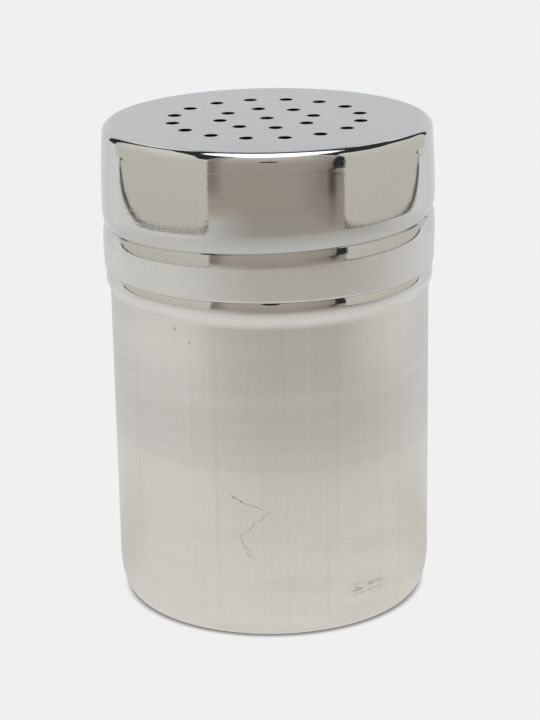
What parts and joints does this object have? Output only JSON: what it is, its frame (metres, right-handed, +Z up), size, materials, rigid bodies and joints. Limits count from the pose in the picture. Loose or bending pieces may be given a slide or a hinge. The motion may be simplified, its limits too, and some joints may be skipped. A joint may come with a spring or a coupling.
{
  "type": "spice shaker with screw lid",
  "caption": "Round stainless steel spice shaker: deep drawn cup with a stop bead and a screw-on sleeve lid with a pierced flat top.",
  "frame": {"origin": "centre of the flat base, on the surface the shaker stands on", "axes": "+Z up along the shaker's axis, the pictured side looks along -Y"},
  "size_m": [0.0678, 0.0678, 0.0998],
  "materials": {
    "cup_steel": "satin, drawn",
    "ring_silicone": "matte",
    "lid_steel": "polished side, fine satin top"
  },
  "bodies": {
    "cup": {"cup": "cup_steel"},
    "sealing_ring": {"sealing_ring": "ring_silicone"},
    "lid": {"lid": "lid_steel"}
  },
  "joints": [
    {"name": "lid_lift", "type": "slide", "parent": "cup", "child": "sealing_ring", "axis": [0, 0, 1], "range_m": [0, 0.0301]},
    {"name": "lid_turn", "type": "hinge", "parent": "sealing_ring", "child": "lid", "pos_m": [0, 0, 0.085], "axis": [0, 0, 1], "range_deg": [0, 2070]}
  ],
  "couplings": [
    {"joint": "lid_lift", "follows": "lid_turn", "m_per_rad": 0.00083238}
  ]
}
